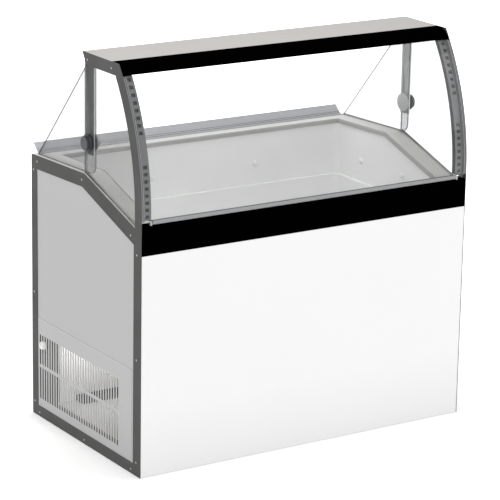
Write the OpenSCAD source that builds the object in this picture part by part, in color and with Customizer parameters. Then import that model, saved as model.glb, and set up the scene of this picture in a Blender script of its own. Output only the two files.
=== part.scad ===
// Ice cream dipping cabinet: an insulated tub under a glazed, curved serving front.
// Origin: middle of the footprint on the floor. X runs left to right, the front faces -Y, Z is up.
// Outlines of the side are drawn as [distance behind the front face, height].

/* [Cabinet] */
// Overall width over the side trims
cabinet_w = 1194; // [950:1:1500]
// Depth from the front panel to the rear panel
cabinet_d = 686; // [560:1:830]
// Gap between the side trims and the floor
floor_gap = 1; // [1:1:12]
// Height of the deck at the bend
bend_z = 873; // [800:1:950]
// Distance of the bend behind the front face
bend_y = 347; // [300:1:380]
// How far the deck falls from the bend to the rear edge
rear_fall = 11; // [0:1:20]
// How far the deck falls from the bend to the front face
front_fall = 111; // [90:1:125]
// Thickness of the painted sheet panels
sheet_t = 1; // [0.8:0.1:2]

/* [Side trim] */
// Thickness of the dark side trim
trim_t = 1.5; // [1:0.1:3]
// Width of the upright and bottom members of the trim
trim_w = 42; // [30:1:60]
// Width of the rear upright of the trim
trim_rear_w = 36; // [30:1:50]
// Height of the member under the level deck
trim_top_w = 44; // [35:1:60]
// Height of the member under the sloping deck
trim_slope_w = 52; // [40:1:70]
// Rivet head radius
rivet_head_r = 3.6; // [2.5:0.1:5]
// Rivet shank radius
rivet_shank_r = 1.6; // [1.2:0.1:2.4]

/* [Front] */
// Top of the lower black band above the floor
band_top_z = 787; // [760:1:860]
// Height of the lower black band
band_h = 90; // [60:1:120]
// Depth of the shelf on top of the band
band_shelf = 34; // [28:1:50]

/* [Canopy] */
// Overall height to the top of the canopy
canopy_top_z = 1250; // [1150:1:1500]
// Height of the canopy box
canopy_h = 38; // [30:1:60]
// Rear edge of the canopy top behind the front face
canopy_rear_y = 356; // [320:1:400]
// Front edge of the steel top, where the fascia starts
canopy_steel_y = 180; // [172:1:200]
// How far the canopy's rear edge leans in towards its underside
canopy_rear_lean = 25; // [0:1:40]
// Radius of the canopy's nose
nose_r = 66; // [38:1:66]
// Height of the black fascia's bottom edge below the canopy top
fascia_drop = 32; // [28:1:45]

/* [Curved posts] */
// Height where the straight foot of the post turns into the arc
arc_z = 815; // [806:1:850]
// How far the arc has leaned back where it meets the nose
post_lean = 119; // [90:1:140]
// Width of the post's side plate
post_w = 38; // [32:1:50]
// Thickness of the post's plates
post_t = 2; // [1.5:0.1:3]
// Width of the post's front flange
flange_w = 38; // [30:1:44]
// Depth of the return behind the flange
return_d = 14; // [10:1:20]
// Width of the aluminium bead beside the front glass
bead_w = 9; // [8:0.5:9.5]
// Pitch of the slots in the glazing strip
slot_pitch = 21; // [16:1:24]

/* [Glass] */
// Thickness of every pane
glass_t = 6; // [4:0.5:8]
// Rear edge of the front side pane behind the front face
pane_overlap_rear = 348; // [340:1:360]
// Front edge of the rear side pane behind the front face
pane_overlap_front = 301; // [290:1:310]
// Gap between the two overlapping side panes
pane_gap = 3; // [2:0.5:5]
// Gap from the trim's outer face to the front side pane
pane_inset = 3.5; // [3:0.1:5]
// Radius of the rear side pane's lower front corner
pane_corner_r = 30; // [15:1:40]
// Gap that lets the front glass move past fixed pieces
moving_gap = 0.3; // [0.3:0.1:1]

/* [Glass rail] */
// Height of the rail's pivot above the lower band
pivot_rise = 7; // [7:0.5:9]
// Distance of the pivot behind the front face
pivot_y = 6; // [5:0.5:7]
// Radius of the pivot pins
pivot_pin_r = 2.5; // [2:0.1:3]
// Radial clearance of a running fit
running_clearance = 0.05; // [0.02:0.01:0.1]
// Radius of the rail's round back
rail_r = 5.5; // [5:0.1:6]
// Wall of the rail's jaws
jaw_t = 1.5; // [1:0.1:1.5]

/* [Clamps] */
// Height of the clamps above the bend
clamp_rise = 100; // [70:1:140]
// Radius of the clamp's outer knob
clamp_knob_r = 27; // [22:1:34]
// Thickness of the clamp's outer knob
clamp_knob_t = 16; // [14:0.5:20]
// Thickness of the knob's fluted rim
clamp_rim_t = 7; // [5:0.5:9]
// Radius of the clamp's inner disc
clamp_disc_r = 31; // [20:1:40]
// Thickness of the clamp's inner disc
clamp_disc_t = 4; // [3:0.5:8]
// Radius of the clamp's stud
clamp_stud_r = 5; // [4:0.5:6]

/* [Tub] */
// Width of the level rim on the left and right
rim_side = 74; // [60:1:90]
// Width of the level rim at the back
rim_rear = 71; // [60:1:90]
// Width of the rim at the front
rim_front = 62; // [50:1:80]
// Thickness of the countertop
counter_t = 2; // [1.5:0.1:4]
// Height of the breaker strip around the opening
breaker_h = 12; // [8:1:20]
// Wall thickness of the breaker strip
breaker_t = 4; // [3:0.5:6]
// Height of the tub's floor
tub_floor_z = 400; // [380:1:460]
// Height of the ledge around the tub wall
ledge_z = 678; // [640:1:700]
// Width of the ledge
ledge_w = 10; // [9:0.5:14]
// Radius of the tub's upright corners
tub_corner_r = 26; // [15:1:40]
// Height of the wall plugs
plug_z = 748; // [720:1:760]
// Radius of the wall plugs
plug_r = 12; // [6:0.5:14]

/* [Rear ledge] */
// Distance from the foot of the rear ledge to the rear panel
ledge_inset = 6; // [4:1:12]
// Width of the ledge's flange on the deck
ledge_flange = 16; // [12:1:24]
// How far the rear ledge leans back
ledge_lean = 30; // [15:1:40]
// How far the rear ledge rises
ledge_rise = 29; // [20:1:45]

/* [Service grille] */
// Top of the service grille
grille_top_z = 330; // [310:1:335]
// Pitch of the grille slots
louvre_pitch = 16; // [12:1:22]
// Width of the grille slots
louvre_w = 8; // [5:0.5:10]
// Bottom of the lower row of slots
louvre_bottom_z = 64; // [56:1:80]
// Top of the upper row of slots
louvre_top_z = 279; // [260:1:290]
// Height of the bar between the two rows
louvre_bar = 11; // [8:1:20]
// Distance of the slots behind the front face
louvre_front_y = 128; // [100:1:150]

/* [Machine room] */
// Height of the machine room's floor
room_floor_z = 36; // [30:1:60]
// Width of the base rails under the side panels
base_rail_w = 57; // [46:1:80]
// Distance of the inner rear wall from the rear panel
duct_d = 50; // [45:1:70]
// Width of the control box
control_box_w = 66; // [50:1:90]
// Depth of the drip tray
tray_d = 52; // [45:1:80]
// Height of the drip tray
tray_h = 17; // [12:1:40]
// Width of the condenser core
condenser_w = 330; // [280:1:380]
// Thickness of the condenser core
condenser_t = 44; // [36:1:60]
// Radius of the fan blades
fan_r = 105; // [90:1:115]
// Radius of the fan shaft
fan_shaft_r = 4; // [3:0.5:5]
// Radius of the compressor shell
compressor_r = 88; // [75:1:95]
// Height of the compressor shell
compressor_h = 190; // [160:1:210]
// Radius of the thermostat knob
dial_r = 13; // [8:0.5:14]
// Radius of the thermostat shaft
dial_shaft_r = 3; // [2:0.5:4]
// Radius of the drain
drain_r = 15; // [12:1:20]

/* [Hidden] */
$fn = 64;

big = 4000;
half_w = cabinet_w / 2;
tiny = 0.01;

// Heights and distances of the side outline
ledge_y = cabinet_d - ledge_inset;
overall_d = ledge_y + ledge_lean;
rear_z = bend_z - rear_fall;
front_z = bend_z - front_fall;
function deck_z(y) = y < bend_y
    ? bend_z - front_fall * (bend_y - y) / bend_y
    : bend_z - rear_fall * (y - bend_y) / (cabinet_d - bend_y);
band_bottom_z = band_top_z - band_h;
band_wall = 3;
canopy_low_z = canopy_top_z - canopy_h;
fascia_low_z = canopy_top_z - fascia_drop;

// Arc of the curved posts and of the front glass
nose_join_z = canopy_top_z - 25;
arc_rise = nose_join_z - arc_z;
arc_r = (arc_rise * arc_rise + post_lean * post_lean) / (2 * post_lean);
nose_z = canopy_top_z - nose_r;
nose_y = arc_r - sqrt(pow(arc_r - nose_r, 2) - pow(nose_z - arc_z, 2));
nose_dir = [nose_y - arc_r, nose_z - arc_z] / (arc_r - nose_r);
nose_tangent = [nose_y, nose_z] + nose_r * nose_dir;
nose_out = 3 * nose_r;
fascia_low_y = arc_r - sqrt(pow(arc_r, 2) - pow(fascia_low_z - arc_z, 2));

// Layers behind the outer surface of the curved front
glass_in = jaw_t;
glass_back = glass_in + glass_t;
strip_in = glass_back + moving_gap;
strip_t = 2.7;
flange_in = strip_in + strip_t;
flange_back = flange_in + post_t;
post_foot_z = band_top_z + 16;
glass_top_z = fascia_low_z - 3;
bead_edge = bead_w + post_t;
glass_half = half_w - bead_edge - 0.5;

// Pivot of the front glass
pivot_z = band_top_z + pivot_rise;
glass_low_z = pivot_z + 5;
rail_top_z = glass_low_z + 4;
rail_half = half_w - flange_w - 2;
bracket_t = 6;
bracket_gap = 1.5;
pin_len = bracket_t + bracket_gap;

// Planes of the side panes, measured inwards from the outer faces of the cabinet
front_pane_x = pane_inset;
rear_pane_x = pane_inset + glass_t + pane_gap;
pane_stack = rear_pane_x + glass_t;
pane_top_z = canopy_top_z - 15;
pane_front_in = flange_back + 1.5;
pane_foot = 2;
channel_t = 1.5;
channel_h = 4;
clamp_y = (pane_overlap_front + pane_overlap_rear) / 2;
clamp_z = bend_z + clamp_rise;
clamp_hole_r = clamp_stud_r + 1;
canopy_inner_half = half_w - pane_stack - 3;

// Tub
opening_half = half_w - rim_side;
opening_front = rim_front;
opening_rear = cabinet_d - rim_rear;
liner_t = 1.5;
liner_half = opening_half + breaker_t + liner_t;
liner_front = opening_front - breaker_t - liner_t;
liner_rear = opening_rear + breaker_t + liner_t;
foam_floor_z = grille_top_z + 12;
plug_d = 6;
drain_x = half_w - rim_side - 110;
drain_y = opening_front + 90;
coil_r = 4;
coil_turns = 6;
coil_pitch = 34;

// Machine room
room_top_z = foam_floor_z;
floor_t = 1.5;
skin_x = half_w - trim_t - sheet_t;
wall_y = cabinet_d - sheet_t - duct_d;
room_x = -half_w + 420;
condenser_y = 130;
condenser_top_z = room_top_z - 30;
shroud_x = room_x + condenser_t + 3;
fan_y = condenser_y + condenser_w / 2;
fan_z = (room_floor_z + condenser_top_z) / 2;
fan_x = shroud_x + 24;
motor_x = fan_x + 24;
compressor_x = room_x + 330;
compressor_y = cabinet_d / 2 - 10;
dial_y = cabinet_d - 76;
dial_z = 249;
dial_land_r = 15.5;
dial_depth = 11;

// Switch under the canopy
switch_x = half_w - 110;
switch_y = canopy_rear_y - canopy_rear_lean - 40;
rocker_pin_r = 1.5;
rocker_pin_half = 12.4;
rocker_r = 6.2;
rocker_rise = 3;
switch_half = [11, 7];

// Rivets along the side trim
rivet_inset = 14;
rivets = [
    [cabinet_d - 38, rear_z - 18], [cabinet_d - rivet_inset, rear_z - 48],
    [bend_y + 13, bend_z - 22], [63, deck_z(63) - 34],
    [cabinet_d - rivet_inset, bend_z / 2 - 24], [cabinet_d - rivet_inset, 45],
    [cabinet_d - 46, rivet_inset], [bend_y, rivet_inset], [56, rivet_inset],
    [25, 44], [25, 370], [26, band_bottom_z - 1]];
canopy_rivets = [[canopy_rear_y - 32, canopy_top_z - 21], [canopy_steel_y, canopy_top_z - 20]];

// Carries a side outline from x0 to x1 across the cabinet
module across(x0, x1) {
    translate([x0, -overall_d / 2, 0])
        rotate([90, 0, 90])
            linear_extrude(x1 - x0)
                children();
}

// A layer of the left side, from inset to inset + t behind the outer face
module left_layer(inset, t) {
    across(-half_w + inset, -half_w + inset + t) children();
}

module mirrored() {
    mirror([1, 0, 0]) children();
}

// A rod along X centred on a point of the side outline
module rod(x0, x1, y, z, r) {
    translate([x0, y - overall_d / 2, z])
        rotate([0, 90, 0])
            cylinder(r = r, h = x1 - x0);
}

// A box given by its low and high corners, with y measured behind the front face
module block(low, high) {
    translate([low[0], low[1] - overall_d / 2, low[2]])
        cube([high[0] - low[0], high[1] - low[1], high[2] - low[2]]);
}

// Area under the deck line between two distances, lowered by drop, down to a level
module under_deck(y0, y1, drop, low) {
    polygon([[y0, low], [y1, low], [y1, deck_z(y1) - drop],
        [bend_y, bend_z - drop], [y0, deck_z(y0) - drop]]);
}

// A layer that follows the deck line, t thick and drop below it
module deck_layer(y0, y1, drop, t) {
    polygon([[y0, deck_z(y0) - drop - t], [bend_y, bend_z - drop - t], [y1, deck_z(y1) - drop - t],
        [y1, deck_z(y1) - drop], [bend_y, bend_z - drop], [y0, deck_z(y0) - drop]]);
}

// A strip that follows the curved front, from in0 to in1 behind its outer surface
module curved_strip(in0, in1, low, high) {
    intersection() {
        translate([arc_r, arc_z])
            difference() {
                circle(r = arc_r - in0, $fn = 720);
                circle(r = arc_r - in1, $fn = 720);
            }
        translate([-tiny, max(low, arc_z)])
            square([canopy_steel_y + in1, high - max(low, arc_z)]);
    }
    if (low < arc_z)
        translate([in0, low])
            square([in1 - in0, arc_z - low]);
}

// Everything inside the outer surface of the curved front and of the canopy's nose
module front_envelope() {
    difference() {
        union() {
            intersection() {
                translate([arc_r, arc_z])
                    circle(r = arc_r, $fn = 720);
                translate([-tiny, arc_z])
                    square([canopy_rear_y, canopy_top_z - arc_z]);
            }
            square([canopy_rear_y, arc_z]);
        }
        difference() {
            polygon([nose_tangent, [nose_y, nose_z], [nose_y, canopy_top_z + 1],
                [nose_y - nose_out, canopy_top_z + 1], nose_tangent + nose_out * nose_dir]);
            translate([nose_y, nose_z])
                circle(r = nose_r, $fn = 96);
        }
    }
}

// Outline of the side below the deck line
module side_outline(edge) {
    corner_r = 8;
    difference() {
        under_deck(edge, cabinet_d - edge, edge, floor_gap + edge);
        translate([cabinet_d - edge - corner_r, deck_z(cabinet_d) - edge - corner_r])
            difference() {
                square(2 * corner_r);
                circle(r = corner_r);
            }
    }
}

// Upright rounded rectangle
module round_box_2d(x0, y0, x1, y1, r) {
    translate([x0 + r, y0]) square([x1 - x0 - 2 * r, y1 - y0]);
    translate([x0, y0 + r]) square([x1 - x0, y1 - y0 - 2 * r]);
    for (x = [x0 + r, x1 - r], y = [y0 + r, y1 - r])
        translate([x, y]) circle(r = r);
}

module round_box(half, y0, y1, r, z0, z1) {
    translate([0, -overall_d / 2, z0])
        linear_extrude(z1 - z0)
            round_box_2d(-half, y0, half, y1, r);
}

// A pipe that runs straight from point to point with round corners
module pipe(points, r) {
    for (i = [0 : len(points) - 2])
        pipe_run(points[i], points[i + 1], r);
    for (i = [1 : len(points) - 2])
        translate(points[i]) sphere(r = r, $fn = 24);
}

module pipe_run(a, b, r) {
    d = b - a;
    length = norm(d);
    translate(a)
        rotate([0, acos(d[2] / length), atan2(d[1], d[0])])
            cylinder(r = r, h = length, $fn = 24);
}

// Point of the cabinet's plan, with y measured behind the front face
function at(x, y, z) = [x, y - overall_d / 2, z];

// ---- Base ----

// Side channels joined by a front and a rear cross rail
module base_frame() {
    edge = 4;
    cross_w = 40;
    low = floor_gap + 1;
    color("#3c3d3e") {
        for (s = [0, 1])
            mirror([s, 0, 0])
                block([-skin_x, edge, low], [-skin_x + base_rail_w, cabinet_d - edge, room_floor_z]);
        for (y = [edge, cabinet_d - edge - cross_w])
            block([-skin_x + base_rail_w, y, low],
                [skin_x - base_rail_w, y + cross_w, room_floor_z - floor_t]);
    }
}

module base_glides() {
    glide_r = 16;
    taper = 2;
    inset = 28;
    color("#262626")
        for (x = [-skin_x + inset, skin_x - inset], y = [inset, cabinet_d - inset])
            translate(at(x, y, 0))
                cylinder(r1 = glide_r - taper, r2 = glide_r, h = floor_gap + 1);
}

// Sheet floor between the base rails
module machine_floor() {
    edge = 4;
    color("#c4c5c4")
        block([-skin_x + base_rail_w, edge, room_floor_z - floor_t],
            [skin_x - base_rail_w, cabinet_d - edge, room_floor_z]);
}

// ---- Side panels and trims ----

module rivet_holes(list) {
    for (p = list)
        translate(p) circle(r = rivet_shank_r, $fn = 24);
}

module side_trim_2d() {
    front_y = trim_w + 2;
    rear_y = cabinet_d - trim_rear_w;
    low_z = trim_w - 6;
    bend_shift = 11;
    difference() {
        side_outline(0);
        polygon([[front_y, low_z], [rear_y, low_z],
            [rear_y, deck_z(rear_y) - trim_top_w],
            [bend_y + bend_shift, bend_z - trim_top_w], [front_y, deck_z(front_y) - trim_slope_w]]);
        rivet_holes(rivets);
    }
}

module side_trim() {
    color("#4e4e4d")
        left_layer(0, trim_t) side_trim_2d();
}

module left_side_trim() {
    side_trim();
}

module right_side_trim() {
    mirrored() side_trim();
}

module side_panel(open) {
    window_front = trim_w + 24;
    window_rear = cabinet_d - trim_rear_w - 9;
    window_low = louvre_bottom_z - 14;
    window_high = louvre_top_z + 16;
    color("#bfbfbf")
        left_layer(trim_t, sheet_t)
            difference() {
                side_outline(counter_t);
                rivet_holes(rivets);
                if (open)
                    translate([window_front, window_low])
                        square([window_rear - window_front, window_high - window_low]);
            }
}

module left_side_panel() {
    side_panel(true);
}

module right_side_panel() {
    mirrored() side_panel(false);
}

// Sheet with two rows of upright slots, hooked over the machine room opening
module left_service_grille() {
    edge_y = trim_w + 11;
    rear_y = cabinet_d - trim_rear_w - 2;
    low_z = trim_w - 3;
    slots_rear = cabinet_d - trim_rear_w - 8;
    count = floor((slots_rear - louvre_front_y) / louvre_pitch);
    mid_z = (louvre_top_z + louvre_bottom_z) / 2 + 3;
    color("#c1c1c1")
        left_layer(trim_t - sheet_t, sheet_t)
            difference() {
                translate([edge_y, low_z])
                    square([rear_y - edge_y, grille_top_z - low_z]);
                difference() {
                    for (i = [0 : count - 1])
                        translate([slots_rear - (i + 0.5) * louvre_pitch - louvre_w / 2, louvre_bottom_z])
                            square([louvre_w, louvre_top_z - louvre_bottom_z]);
                    translate([0, mid_z - louvre_bar / 2])
                        square([cabinet_d, louvre_bar]);
                    translate([dial_y, dial_z])
                        circle(r = dial_land_r);
                }
                translate([dial_y, dial_z])
                    circle(r = dial_shaft_r + 1, $fn = 32);
            }
}

module rivet(shank) {
    dome = 1.6;
    dome_r = (rivet_head_r * rivet_head_r + dome * dome) / (2 * dome);
    rotate_extrude($fn = 32)
        intersection() {
            translate([0, dome - dome_r]) circle(r = dome_r, $fn = 64);
            square([rivet_head_r, dome]);
        }
    translate([0, 0, -shank])
        cylinder(r = rivet_shank_r, h = shank + tiny, $fn = 24);
}

module rivet_row(list, shank) {
    for (p = list)
        translate(at(-half_w, p[0], p[1]))
            rotate([0, -90, 0])
                rivet(shank);
}

// Domed rivets around both trims and at the canopy's ends
module trim_rivets() {
    color("#d6d6d4")
        for (s = [0, 1])
            mirror([s, 0, 0]) {
                rivet_row(rivets, trim_t + sheet_t);
                rivet_row(canopy_rivets, post_t);
            }
}

// ---- Front and rear ----

// White sheet with side folds
module front_panel() {
    fold = 16;
    top_z = band_bottom_z - 0.4;
    color("#f7f7f7") {
        block([-skin_x, 0, floor_gap], [skin_x, sheet_t, top_z]);
        for (s = [0, 1])
            mirror([s, 0, 0])
                block([-skin_x, sheet_t, room_floor_z + 1], [-skin_x + sheet_t, fold, top_z]);
    }
}

// Black channel across the front, with a shelf that turns down onto the deck
module lower_band() {
    leg_y = band_shelf - band_wall;
    color("#050505")
        across(-skin_x, skin_x)
            polygon([[0, band_bottom_z], [band_wall, band_bottom_z], [band_wall, band_top_z - band_wall],
                [leg_y, band_top_z - band_wall], [leg_y, deck_z(leg_y)],
                [band_shelf, deck_z(band_shelf)], [band_shelf, band_top_z], [0, band_top_z]]);
}

vent_x0 = half_w - 470;
vent_x1 = half_w - 110;
vent_z0 = room_floor_z + 60;
vent_z1 = room_top_z - 50;
inlet_x = -half_w + 130;
inlet_z = 110;
inlet_half = [14, 10];

module rear_panel() {
    edge = 8;
    fit = 0.3;
    color("#bfbfbf")
        difference() {
            block([-skin_x, cabinet_d - 2 * sheet_t, floor_gap],
                [skin_x, cabinet_d - sheet_t, deck_z(cabinet_d) - counter_t - 2]);
            block([vent_x0 + edge, cabinet_d - 5, vent_z0 + edge],
                [vent_x1 - edge, cabinet_d, vent_z1 - edge]);
            block([inlet_x - inlet_half[0] - fit, cabinet_d - 5, inlet_z - inlet_half[1] - fit],
                [inlet_x + inlet_half[0] + fit, cabinet_d, inlet_z + inlet_half[1] + fit]);
        }
}

// Slotted sheet over the warm air outlet at the back
module rear_vent() {
    slots = 9;
    edge = 15;
    step = (vent_z1 - vent_z0 - 2 * edge) / slots;
    color("#9c9e9f")
        difference() {
            block([vent_x0, cabinet_d - sheet_t, vent_z0], [vent_x1, cabinet_d, vent_z1]);
            for (i = [0 : slots - 1])
                block([vent_x0 + edge, cabinet_d - 2, vent_z0 + edge + (i + 0.25) * step],
                    [vent_x1 - edge, cabinet_d + 1, vent_z0 + edge + (i + 0.75) * step]);
        }
}

// Appliance inlet socket with three contact blades
module power_inlet() {
    flange = [24, 14];
    flange_t = 2;
    depth = 22;
    recess = [11.5, 7.5];
    y = cabinet_d - sheet_t;
    color("#1c1c1d") {
        difference() {
            union() {
                block([inlet_x - flange[0], y, inlet_z - flange[1]],
                    [inlet_x + flange[0], y + flange_t, inlet_z + flange[1]]);
                block([inlet_x - inlet_half[0], y - depth, inlet_z - inlet_half[1]],
                    [inlet_x + inlet_half[0], y + tiny, inlet_z + inlet_half[1]]);
            }
            block([inlet_x - recess[0], y - depth + 4, inlet_z - recess[1]],
                [inlet_x + recess[0], y + flange_t + 1, inlet_z + recess[1]]);
        }
        for (p = [[-7, -2], [0, 2.5], [7, -2]])
            block([inlet_x + p[0] - 1, y - depth + 3, inlet_z + p[1] - 2],
                [inlet_x + p[0] + 1, y - 4, inlet_z + p[1] + 2]);
    }
}

// ---- Tub ----

// Foam that fills the space between the tub and the panels
module foam_insulation() {
    skin = 1.2;
    color("#e8d9a0")
        difference() {
            across(-skin_x + skin, skin_x - skin)
                under_deck(band_shelf + skin, cabinet_d - sheet_t - 2, counter_t + skin / 4, foam_floor_z);
            round_box(liner_half + skin, liner_front - skin, liner_rear + skin, tub_corner_r,
                tub_floor_z - liner_t - skin, big);
            across(-opening_half - breaker_t - skin, opening_half + breaker_t + skin)
                deck_layer(opening_front - breaker_t - skin, opening_rear + breaker_t + skin, 0,
                    breaker_h + skin + counter_t);
            translate(at(drain_x, drain_y, 0))
                cylinder(r = drain_r + 2, h = big);
        }
}

// Painted inner tank: a wide upper part, a ledge and a narrower lower part
module tub_liner() {
    color("#e9e9e7")
        difference() {
            intersection() {
                union() {
                    round_box(liner_half, liner_front, liner_rear, tub_corner_r, ledge_z - liner_t, big);
                    round_box(liner_half - ledge_w, liner_front + ledge_w, liner_rear - ledge_w,
                        tub_corner_r, tub_floor_z - liner_t, ledge_z);
                }
                across(-half_w, half_w)
                    under_deck(0, cabinet_d, counter_t + breaker_h, 0);
            }
            round_box(liner_half - liner_t, liner_front + liner_t, liner_rear - liner_t,
                tub_corner_r - liner_t, ledge_z, big);
            round_box(liner_half - ledge_w - liner_t, liner_front + ledge_w + liner_t,
                liner_rear - ledge_w - liner_t, tub_corner_r - liner_t, tub_floor_z, big);
            translate(at(drain_x, drain_y, tub_floor_z - 5))
                cylinder(r = drain_r, h = 10);
        }
}

module wall_plug() {
    dome_r = (plug_r * plug_r + plug_d * plug_d) / (2 * plug_d);
    rotate_extrude($fn = 32)
        intersection() {
            translate([0, plug_d - dome_r]) circle(r = dome_r, $fn = 64);
            square([plug_r, plug_d]);
        }
}

// Round caps over the fixing holes in the tub's wall
module wall_plugs() {
    inner_half = liner_half - liner_t;
    inner_rear = liner_rear - liner_t;
    color("#dddddb") {
        for (x = [-half_w / 3, half_w / 3])
            translate(at(x, inner_rear, plug_z)) rotate([90, 0, 0]) wall_plug();
        for (s = [-1, 1], y = [cabinet_d - 207, bend_y - 99])
            translate(at(s * inner_half, y, plug_z)) rotate([0, -s * 90, 0]) wall_plug();
    }
}

// Tube wound round the lower part of the tub, under the ledge
module evaporator_coil() {
    out = liner_half - ledge_w + coil_r + 0.5;
    y0 = liner_front + ledge_w - coil_r - 0.5;
    y1 = liner_rear - ledge_w + coil_r + 0.5;
    r = tub_corner_r;
    color("#b87333")
        for (i = [0 : coil_turns - 1])
            translate([0, -overall_d / 2, tub_floor_z + 40 + i * coil_pitch])
                coil_turn(out, y0, y1, r);
}

module coil_turn(half, y0, y1, r) {
    for (y = [y0, y1])
        translate([-half + r, y, 0])
            rotate([0, 90, 0])
                cylinder(r = coil_r, h = 2 * (half - r), $fn = 16);
    for (x = [-half, half])
        translate([x, y0 + r, 0])
            rotate([-90, 0, 0])
                cylinder(r = coil_r, h = y1 - y0 - 2 * r, $fn = 16);
    corners = [[half - r, y1 - r, 0], [-half + r, y1 - r, 90],
        [-half + r, y0 + r, 180], [half - r, y0 + r, 270]];
    for (c = corners)
        translate([c[0], c[1], 0])
            rotate([0, 0, c[2]])
                rotate_extrude(angle = 90, $fn = 64)
                    translate([r, 0]) circle(r = coil_r, $fn = 16);
}

module countertop() {
    color("#c8c4bd")
        difference() {
            across(-half_w + trim_t, half_w - trim_t)
                deck_layer(band_wall + moving_gap, cabinet_d - sheet_t, 0, counter_t);
            block([-opening_half, opening_front, 0], [opening_half, opening_rear, big]);
        }
}

// Plastic thermal break that lines the edge of the opening
module breaker_strip() {
    color("#a3a09a")
        difference() {
            across(-opening_half - breaker_t, opening_half + breaker_t)
                deck_layer(opening_front - breaker_t, opening_rear + breaker_t, counter_t, breaker_h);
            block([-opening_half, opening_front, 0], [opening_half, opening_rear, big]);
        }
}

module drain_tube() {
    wall = 1.5;
    low = foam_floor_z - 30;
    color("#b9bbbb")
        translate(at(drain_x, drain_y, low))
            difference() {
                cylinder(r = drain_r + wall, h = tub_floor_z - liner_t - low);
                translate([0, 0, -1]) cylinder(r = drain_r, h = big);
            }
}

module drain_plug() {
    fit = running_clearance;
    cap_t = 4;
    plug_low = 12;
    color("#2b2b2b")
        translate(at(drain_x, drain_y, tub_floor_z))
            union() {
                translate([0, 0, moving_gap]) cylinder(r = drain_r + cap_t, h = cap_t);
                translate([0, 0, -plug_low]) cylinder(r = drain_r - fit, h = plug_low + 1);
                translate([0, 0, cap_t])
                    rotate_extrude()
                        polygon([[0, 0], [4, 0], [3, 8], [7, 11], [7, 14], [0, 14]]);
            }
}

// ---- Curved posts and their trims ----

// Dark side plate: the curved post and the end of the canopy in one piece
module post_plate_2d() {
    difference() {
        intersection() {
            front_envelope();
            union() {
                difference() {
                    square([canopy_rear_y, canopy_top_z]);
                    translate([arc_r, arc_z])
                        circle(r = arc_r - post_w, $fn = 720);
                    translate([post_w, 0])
                        square([canopy_rear_y, arc_z]);
                    translate([nose_tangent[0] + post_w, 0])
                        square([canopy_rear_y, canopy_top_z]);
                }
                polygon([[nose_tangent[0], canopy_low_z],
                    [canopy_rear_y - canopy_rear_lean, canopy_low_z],
                    [canopy_rear_y, canopy_top_z], [nose_tangent[0] - post_w, canopy_top_z],
                    [nose_tangent[0] - post_w, canopy_low_z]]);
            }
        }
        under_deck(-1, cabinet_d, 0, -1);
        rivet_holes(canopy_rivets);
    }
}

module post() {
    color("#4e4e4d") {
        left_layer(0, post_t) post_plate_2d();
        left_layer(post_t - tiny, flange_w - post_t)
            curved_strip(flange_in, flange_back, post_foot_z, glass_top_z);
        left_layer(flange_w - post_t, post_t)
            curved_strip(flange_back - tiny, flange_back + return_d, post_foot_z, glass_top_z);
    }
}

module left_post() {
    post();
}

module right_post() {
    mirrored() post();
}

// Aluminium bead with a groove, beside the edge of the front glass
module edge_bead() {
    groove_w = 3;
    groove_d = 4;
    ridge_w = (bead_w - groove_w) / 2;
    color("#9b9ca0")
        difference() {
            left_layer(post_t, bead_w)
                curved_strip(0.3, flange_in, post_foot_z, glass_top_z);
            left_layer(post_t + ridge_w, groove_w)
                curved_strip(-1, groove_d, post_foot_z - 1, glass_top_z + 1);
        }
}

module glass_edge_beads() {
    edge_bead();
    mirrored() edge_bead();
}

// Strip behind the glass edge, slotted near both ends
module glazing_strip() {
    strip_x = bead_edge + 0.3;
    strip_w = flange_w - strip_x;
    slot_w = strip_w / 2;
    slot_h = slot_pitch / 2;
    top_slots = 8;
    color("#565657")
        difference() {
            left_layer(strip_x, strip_w)
                curved_strip(strip_in, flange_in - running_clearance, post_foot_z, glass_top_z);
            for (i = [0 : top_slots - 1], high = [0, 1])
                strip_slot(high * (glass_top_z - top_slots * slot_pitch - post_foot_z) + post_foot_z
                    + (i + 0.5) * slot_pitch, strip_x + strip_w / 4, slot_w, slot_h);
        }
}

module strip_slot(z, x, w, h) {
    over = 40;
    translate([-half_w + x, -overall_d / 2, z - h / 2])
        cube([w, post_lean + over, h]);
}

module glazing_strips() {
    glazing_strip();
    mirrored() glazing_strip();
}

// ---- Front glass ----

module front_glass() {
    color("#cfe3e6", 0.35)
        across(-glass_half, glass_half)
            curved_strip(glass_in, glass_back, glass_low_z, glass_top_z);
}

// Aluminium rail that grips the glass and turns on two pins
module glass_rail() {
    color("#9a9b9e") {
        difference() {
            across(-rail_half, rail_half)
                union() {
                    translate([pivot_y, pivot_z]) circle(r = rail_r);
                    translate([0, pivot_z])
                        square([glass_back + jaw_t, rail_top_z - pivot_z]);
                }
            across(-half_w, half_w)
                translate([glass_in, glass_low_z])
                    square([glass_t, glass_t + rail_top_z]);
        }
        for (s = [0, 1])
            mirror([s, 0, 0])
                rod(rail_half - 1, rail_half + pin_len, pivot_y, pivot_z, pivot_pin_r);
    }
}

module pivot_brackets() {
    bracket_r = pivot_pin_r + running_clearance + 2;
    x0 = rail_half + bracket_gap;
    color("#77787a")
        for (s = [0, 1])
            mirror([s, 0, 0])
                difference() {
                    across(x0, x0 + bracket_t)
                        union() {
                            translate([pivot_y, pivot_z]) circle(r = bracket_r);
                            translate([pivot_y - bracket_r + 1, band_top_z])
                                square([2 * bracket_r - 2, pivot_rise]);
                        }
                    rod(x0 - 1, x0 + bracket_t + 1, pivot_y, pivot_z, pivot_pin_r + running_clearance);
                }
}

// ---- Canopy ----

canopy_sheet = 1.5;
fascia_t = 2;

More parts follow.
